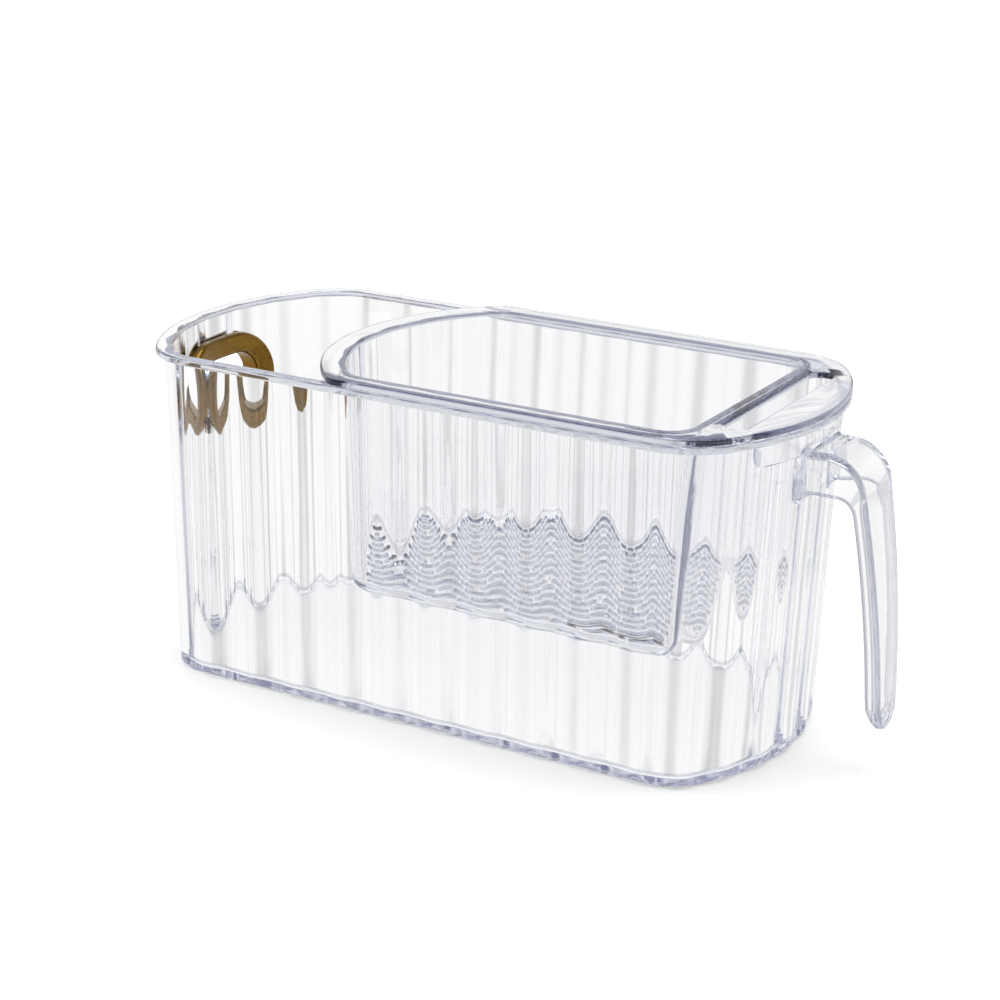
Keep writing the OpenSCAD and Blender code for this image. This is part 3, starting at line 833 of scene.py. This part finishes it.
def handle_stations():
    """Points (half width, v) up one edge of the handle's front view, each with its inward direction."""
    r = TIP_W / 2
    grip_h = BEND_Z - HANDLE_TIP
    bent = BEND_R * (pi / 2 - BEND_ANGLE)
    arm = bend(grip(1), BEND_R, BEND_R, pi / 2)[0] - ARM_X
    marks = [(r * sin(a), r - r * cos(a), -sin(a), cos(a)) for a in np.linspace(0, pi / 2, TIP_STEPS + 1)]
    for v in np.linspace(r, grip_h, GRIP_STEPS + 1)[1:]:
        marks.append((r + (HANDLE_W / 2 - r) * (v - r) / (grip_h - r), v, -1.0, 0.0))
    marks += [(HANDLE_W / 2, grip_h + v, -1.0, 0.0) for v in np.linspace(0, bent, BEND_STEPS + 1)[1:]]
    bend_end = grip_h + bent
    marks += [(HANDLE_W / 2, bend_end + v, -1.0, 0.0) for v in np.linspace(0, arm, ARM_STEPS + 1)[1:]]
    return marks


def handle():
    """C-channel handle: a plate with a rounded flange along both sides and round its tip."""
    verts = []
    edge = handle_stations()
    n = len(edge) - 1
    both_edges = [(1.0, m) for m in edge] + [(-1.0, m) for m in reversed(edge[1:])]
    for side, (half, v, in_y, in_v) in both_edges:
        outer, inner = handle_rails(v)
        depth = hypot(inner[0] - outer[0], inner[1] - outer[1])
        rows = channel_section(depth)
        for inset, t, sideways, deeper in rows:
            outer, inner = handle_rails(v + inset * in_v)
            x = outer[0] + (inner[0] - outer[0]) * t / depth
            z = outer[1] + (inner[1] - outer[1]) * t / depth
            swell = root_flare(x)
            verts.append((x, side * (half + inset * in_y + swell * sideways), z - swell * deeper))
    per = len(rows)
    columns = len(both_edges)
    faces = []
    for c in range(columns):
        d = (c + 1) % columns
        if c == n:
            continue
        for r in range(per - 1):
            faces.append((c * per + r, d * per + r, d * per + r + 1, c * per + r + 1))
    for row in (0, per - 1):
        faces.append([row, per + row, (columns - 1) * per + row])
        for c in range(1, n):
            across = columns - c
            faces.append([k * per + row for k in (c, c + 1, across - 1, across)])
    faces.append([n * per + r for r in range(per)] + [(n + 1) * per + r for r in reversed(range(per))])
    piece = face_outward(new_object("handle", verts, faces))
    in_wall = [(wall_inset(z) + ROOT_DEPTH, z) for z in (FLOOR_T, BIN_H)]
    return combine(piece, loft("in wall", RIM, even_stations(RIM, WALL_STEP), in_wall), "DIFFERENCE")


def oval_loop(grow_by, count):
    """Points (y, height) of the ring's inner edge, moved out from it by grow_by."""
    w = RING_W - 2 * RING_BAND
    h = RING_H - 2 * RING_BAND
    outline = oval_outline(0.0, 0.0, h, w)
    around = length_of(outline)
    points, inward = walk(outline, [around * k / count for k in range(count)])
    moved = points - grow_by * inward
    return [(p[1], RING_Z - p[0]) for p in moved]


def grip_wall_x(y, z, k):
    """X of the grip end's wall, k in from its crowns."""
    return -END_CENTRE_X - sqrt((END_R - wall_inset(z) - k) ** 2 - y * y)


def grip_hole():
    """Cutter for the oval hole in the end wall."""
    loop = oval_loop(SLEEVE_T + RING_FIT, HOLE_STEPS)
    n = len(loop)
    verts = [(x, y, z) for x in (-HALF_LENGTH - HOLE_OUT, -HALF_LENGTH + HOLE_IN) for y, z in loop]
    faces = [[k, (k + 1) % n, n + (k + 1) % n, n + k] for k in range(n)]
    faces += [list(reversed(range(n))), list(range(n, 2 * n))]
    return face_outward(new_object("grip hole", verts, faces))


def make_bin():
    """Fluted tub with its pad and handle, and the grip hole cut out."""
    around = length_of(RIM)
    columns = FLUTES * COLUMNS_PER_FLUTE
    stations = [around * k / columns for k in range(columns)]
    phases = [k / COLUMNS_PER_FLUTE for k in range(columns)]
    piece = fluted_loft("bin_moulding", RIM, stations, phases, [1.0] * columns, bin_section(), 0.0,
                        FLUTES, FLUTE_D, CLEAR_BIN)
    combine(piece, handle_pad(), "UNION")
    combine(piece, handle(), "UNION")
    combine(piece, grip_hole(), "DIFFERENCE")
    return mark_painted_edge_shade(finish_surface(piece), BASE_R, FLOOR_T)


def make_grip_ring():
    """Band inside, sleeve through the wall and thin band outside, all bowed as the wall is."""
    k = WALL_T + RING_FIT
    front = k + RING_PROUD
    r = RING_ROUND
    turns = [pi / 2 * i / ROUND_STEPS for i in range(ROUND_STEPS + 1)]
    back = -RING_FIT - RING_BACK
    b = BACK_ROUND
    section = [(0.0, front - r)]
    section += [(r - r * cos(a), front - r + r * sin(a)) for a in turns[1:]]
    section += [(RING_BAND - r + r * sin(a), front - r + r * cos(a)) for a in turns]
    section += [(RING_BAND, k), (SLEEVE_T, k), (SLEEVE_T, -RING_FIT), (RING_BAND, -RING_FIT)]
    section += [(RING_BAND - b + b * cos(a), back + b - b * sin(a)) for a in turns]
    section += [(b - b * sin(a), back + b - b * cos(a)) for a in turns]
    loops = [oval_loop(out, RING_STEPS) for out, _ in section]
    verts = []
    for c in range(RING_STEPS):
        for (_, depth), loop in zip(section, loops):
            y, z = loop[c]
            verts.append((grip_wall_x(y, z, depth), y, z))
    faces = loft_faces(RING_STEPS, len(section), closed_section=True)
    piece = new_object("grip_ring_trim", verts, faces)
    piece.data.materials.append(GOLD_TRIM)
    return finish_surface(piece)


# Drain basket
def basket_flutes(shift):
    """Stations from the nose along one side, each with its flute phase and weight.
    Where the side is straight, the flutes line up with the bin's."""
    turn = sum(stretch(part, BASKET_SKIN) for part in BASKET[:2])
    straight = stretch(BASKET[2], BASKET_SKIN)
    pitch = length_of(RIM) / FLUTES
    lined_up = NOSE_CORNER_X / pitch + shift
    nose_flutes = lined_up + round(turn / pitch - lined_up)
    last = floor(nose_flutes + straight / pitch)
    marks = []
    for k in range(last * COLUMNS_PER_FLUTE + 1):
        phase = k / COLUMNS_PER_FLUTE
        station = phase * turn / nose_flutes
        if phase > nose_flutes:
            station = turn + (phase - nose_flutes) * pitch
        marks.append((station, phase, 1.0))
    return marks


def basket_stations():
    """Stations all round the basket and its number of flutes. The tail and its corners are plain."""
    around = length_of(BASKET, BASKET_SKIN)
    # The bin's odd number of flutes sets its two sides half a flute apart.
    near = basket_flutes(0.0)
    far = basket_flutes(0.5)
    plain_start = near[-1][0] + FLUTE_STEP
    plain_run = around - far[-1][0] - FLUTE_STEP - plain_start
    count = ceil(plain_run / PLAIN_STEP)
    plain = [(plain_start + plain_run * k / count, 0.0, 0.0) for k in range(count + 1)]
    other = [(around - station, -phase, weight) for station, phase, weight in reversed(far[1:])]
    return near + plain + other, floor(near[-1][1] + far[-1][1])


def basket_flange():
    """Flat rim plate with rounded edges."""
    e = FLANGE_ROUND
    plate = round_edge(e, SEAT_Z + e, e, -90, 90) + round_edge(e, TOP_Z - e, e, 0, 90)
    outline = flange_outline()
    return loft("flange", outline, even_stations(outline, LOFT_STEP), plate)


def basket_hollow():
    """Cutter for the tub's smooth inside."""
    low = BOT_Z + BASKET_FLOOR_T + BASKET_IN_R
    mouth_z = TOP_Z - BASKET_MOUTH_R
    lip = basket_inset(mouth_z) + BASKET_T
    hollow = round_foot(basket_inset(low) + BASKET_T, BOT_Z + BASKET_FLOOR_T, BASKET_IN_R)
    hollow += [(basket_inset(z) + BASKET_T, z) for z in heights(low, mouth_z, BASKET_ROWS)[1:-1]]
    hollow += reversed(round_edge(lip - BASKET_MOUTH_R, mouth_z, BASKET_MOUTH_R, 90, 90))
    hollow += [(lip - BASKET_MOUTH_R, TOP_Z + PAST)]
    return loft("hollow", BASKET, even_stations(BASKET, LOFT_STEP, BASKET_SKIN), hollow, BASKET_SKIN)


def bar_slot():
    """Cutter for the long slot beside the cross bar, wider at both faces."""
    outline = oval_outline(BAR_X + BAR_W + SLOT_W / 2, 0.0, SLOT_W, SLOT_L)
    f, r = SLOT_FLARE, SLOT_ROUND
    section = [(-f, SEAT_Z - PAST), (-f, SEAT_Z), (0.0, SEAT_Z + f), (0.0, TOP_Z - r)]
    section += [(-0.3 * r, TOP_Z - 0.3 * r), (-r, TOP_Z), (-r, TOP_Z + PAST)]
    return loft("bar slot", outline, even_stations(outline, SLOT_STEP), section)


def drain_slots():
    """Cutter for the slotted floor."""
    edge = basket_inset(BOT_Z) + BASKET_T + BASKET_IN_R + DRAIN_EDGE
    row_pitch = DRAIN_W + DRAIN_BAR
    rows = floor(2 * (HALF_WIDTH - edge - DRAIN_W / 2) / row_pitch) + 1
    columns = 2 * ceil((NOSE_CENTRE_X + NOSE_X) / (DRAIN_L + DRAIN_BRIDGE)) + 2
    tool = new_object("drain slots", [], [])
    return grow(tool, DRAIN_SLOTS, {
        "Slot Length": DRAIN_L * MM, "Slot Width": DRAIN_W * MM, "Bridge": DRAIN_BRIDGE * MM,
        "Bar": DRAIN_BAR * MM, "Rows": rows, "Columns": columns, "Nose Centre": NOSE_CENTRE_X * MM,
        "Nose Reach": (NOSE_R - edge) * MM, "Tail": (TAIL_X - edge) * MM,
        "Middle Height": (BOT_Z + BASKET_FLOOR_T / 2) * MM, "Depth": (BASKET_FLOOR_T + DRAIN_PAST) * MM,
        "Chamfer": DRAIN_CHAMFER * MM, "Plastic": CLEAR_BASKET,
    })


def make_drain_basket():
    """Fluted tub with its flange, hollow, bar slot and slotted floor."""
    marked, count = basket_stations()
    stations = [m[0] for m in marked]
    phases = [m[1] for m in marked]
    weights = [m[2] for m in marked]
    top = SEAT_Z + FLANGE_T / 2
    start = basket_inset(BOT_Z + BASKET_R) - BASKET_FOOT_SLACK
    wall = heights(BOT_Z + BASKET_R, top, BASKET_ROWS)[1:]
    rows = [(basket_inset(z), z, 1.0, least) for least, z in round_foot(start, BOT_Z, BASKET_R)]
    rows += [(basket_inset(z), z, 1.0, NO_FOOT) for z in wall]
    piece = fluted_loft("drain_basket_moulding", BASKET, stations, phases, weights, rows, BASKET_SKIN,
                        count, BASKET_FLUTE_D, CLEAR_BASKET)
    combine(piece, basket_flange(), "UNION")
    combine(piece, basket_hollow(), "DIFFERENCE")
    combine(piece, bar_slot(), "DIFFERENCE")
    combine(piece, drain_slots(), "DIFFERENCE")
    return mark_painted_edge_shade(finish_surface(piece), BOT_Z + BASKET_R, BOT_Z + BASKET_FLOOR_T)


# Studio
def seen_rays(tree):
    """Two masks: rays straight from the camera, and rays mirrored by or bent through the object."""
    ray = place(tree, "ShaderNodeLightPath").outputs
    bent = sums(tree, "MAXIMUM", ray["Is Glossy Ray"], ray["Is Transmission Ray"])
    lights_floor = sums(tree, "GREATER_THAN", ray["Diffuse Depth"], 0.5)
    return ray["Is Camera Ray"], sums(tree, "SUBTRACT", bent, sums(tree, "MULTIPLY", bent, lights_floor))


# Camera and studio light, and the white panels round them whose gaps the clear plastic shows
CAMERA_AZIMUTH = 28.951
STUDIO_LIGHT = 0.8
SHEET_WHITE = 0.92
PANELS = 9
PANEL_FACING = radians(90 + CAMERA_AZIMUTH)  # the way the camera looks
PANEL_SHARPNESS = 4.5  # how narrow the gaps are
PANEL_DEPTH = 0.34  # how much darker the gaps are
PANEL_FOOT = -0.8  # below this the gaps are gone, with straight down at -1
PANEL_KNEE = -0.5  # above this the gaps are full
ROOM_TONE = (0.30, 0.32, 0.42, 1.0)
BOUNCES = 96
FLOOR_SHOWN = 1.03  # the sheet's brightness as the camera sees it
FLOOR_DROP = 0.2  # from the part's underside to the sheet


def studio_world():
    """White to the camera. Mirrored and bent rays meet white panels with grey gaps.
    Above them is a lavender grey room."""
    world = bpy.data.worlds.new("studio")
    scene.world = world
    world.use_nodes = True
    tree = world.node_tree
    tree.nodes.clear()
    camera, through = seen_rays(tree)
    way = place(tree, "ShaderNodeTexCoord").outputs["Generated"]
    apart = place(tree, "ShaderNodeSeparateXYZ", {0: way}).outputs
    room = place(tree, "ShaderNodeValToRGB", {"Fac": apart["Z"]})
    room.color_ramp.elements[0].position = 0.3
    room.color_ramp.elements[0].color = WHITE
    room.color_ramp.elements[1].position = 0.65
    room.color_ramp.elements[1].color = ROOM_TONE
    turn = sums(tree, "SUBTRACT", sums(tree, "ARCTAN2", apart["Y"], apart["X"]), PANEL_FACING)
    wave = sums(tree, "COSINE", sums(tree, "MULTIPLY", turn, float(PANELS)))
    gap = sums(tree, "POWER", sums(tree, "MULTIPLY_ADD", wave, -0.5, 0.5), PANEL_SHARPNESS)
    standing = place(tree, "ShaderNodeMapRange", {
        "Value": apart["Z"], "From Min": PANEL_FOOT, "From Max": PANEL_KNEE,
        "To Min": 0.0, "To Max": PANEL_DEPTH}, interpolation_type="SMOOTHSTEP").outputs["Result"]
    tone = sums(tree, "SUBTRACT", 1.0, sums(tree, "MULTIPLY", gap, standing))
    light = place(tree, "ShaderNodeBackground", {"Color": WHITE, "Strength": STUDIO_LIGHT})
    seen = place(tree, "ShaderNodeBackground", {"Color": room.outputs["Color"], "Strength": tone})
    white = place(tree, "ShaderNodeBackground", {"Color": WHITE, "Strength": 1.0})
    bent = place(tree, "ShaderNodeMixShader", {0: through, 1: light.outputs[0], 2: seen.outputs[0]})
    either = place(tree, "ShaderNodeMixShader", {0: camera, 1: bent.outputs[0], 2: white.outputs[0]})
    end = place(tree, "ShaderNodeOutputWorld")
    tree.links.new(either.outputs[0], end.inputs["Surface"])


def studio_floor():
    """White sheet with the shadow kept. The plastic shows the panels through it."""
    finish, tree = new_finish("white floor")
    camera, through = seen_rays(tree)
    sheet = place(tree, "ShaderNodeBsdfDiffuse", {"Color": (SHEET_WHITE, SHEET_WHITE, SHEET_WHITE, 1.0)})
    to_white = sums(tree, "MULTIPLY", camera, FLOOR_SHOWN - SHEET_WHITE * STUDIO_LIGHT)
    white = place(tree, "ShaderNodeEmission", {"Color": WHITE, "Strength": to_white})
    plain = place(tree, "ShaderNodeAddShader", {0: sheet.outputs[0], 1: white.outputs[0]})
    clear = place(tree, "ShaderNodeBsdfTransparent")
    either = place(tree, "ShaderNodeMixShader", {0: through, 1: plain.outputs[0], 2: clear.outputs[0]})
    end = place(tree, "ShaderNodeOutputMaterial")
    tree.links.new(either.outputs[0], end.inputs["Surface"])
    reach, sides = 4000.0, 96
    turns = [2 * pi * k / sides for k in range(sides)]
    ring = [(reach * cos(a), reach * sin(a), -FLOOR_DROP) for a in turns]
    ground = new_object("floor", ring, [list(range(sides))])
    ground.data.materials.append(finish)


def softbox(name, spot_m, aim_m, size_m, watts):
    """A rectangular lamp aimed at a point."""
    lamp = bpy.data.lights.new(name, "AREA")
    lamp.shape = "RECTANGLE"
    lamp.size, lamp.size_y = size_m
    lamp.energy = watts
    holder = bpy.data.objects.new(name, lamp)
    holder.location = spot_m
    holder.rotation_euler = (Vector(aim_m) - Vector(spot_m)).to_track_quat("-Z", "Y").to_euler()
    holder.visible_camera = False
    scene.collection.objects.link(holder)


def studio():
    """Sheet and surround, an overhead softbox and a weaker one at the left."""
    studio_world()
    studio_floor()
    softbox("overhead softbox", (0.1, 0.25, 1.2), (0.0, 0.0, 0.05), (0.9, 0.7), 6.0)
    softbox("left softbox", (-1.1, -0.5, 0.6), (0.0, 0.0, 0.06), (0.4, 0.9), 3.0)


def photo_camera():
    """Camera at the photograph's angle, 1000 by 1000."""
    azimuth, elevation, roll = radians(CAMERA_AZIMUTH), radians(19.074), radians(1.325)
    distance = 0.672678
    target = Vector((0.0, 0.0, 0.045))
    focal_px, axis_x, axis_y, side_px = 2447.85, 493.76, 524.76, 1000.0
    sensor = 36.0
    back = Vector((sin(azimuth) * cos(elevation), -cos(azimuth) * cos(elevation), sin(elevation)))
    level = Vector((cos(azimuth), sin(azimuth), 0.0))
    upright = back.cross(level)
    right = level * cos(roll) + upright * sin(roll)
    up = upright * cos(roll) - level * sin(roll)
    lens = bpy.data.cameras.new("photo camera")
    lens.sensor_width = sensor
    lens.lens = focal_px * sensor / side_px
    lens.shift_x = 0.5 - axis_x / side_px
    lens.shift_y = axis_y / side_px - 0.5
    lens.clip_start = 0.01
    holder = bpy.data.objects.new("photo camera", lens)
    turn = Matrix((right, up, back)).transposed().to_4x4()
    holder.matrix_world = Matrix.Translation(target + distance * back) @ turn
    scene.collection.objects.link(holder)
    scene.camera = holder


pieces = [
    (make_bin(), "bin_body", "bin", "clear_bin"),
    (make_grip_ring(), "bin_body", "grip_ring", "gold_trim"),
    (make_drain_basket(), "basket_body", "drain_basket", "clear_basket"),
]
for piece, body, node_name, slot_name in pieces:
    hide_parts(node_name)
    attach(piece, body)

studio()
photo_camera()
scene.view_settings.view_transform = "Standard"
scene.cycles.max_bounces = BOUNCES
scene.cycles.transmission_bounces = BOUNCES
scene.cycles.glossy_bounces = BOUNCES
scene.cycles.caustics_refractive = True
scene.cycles.caustics_reflective = True
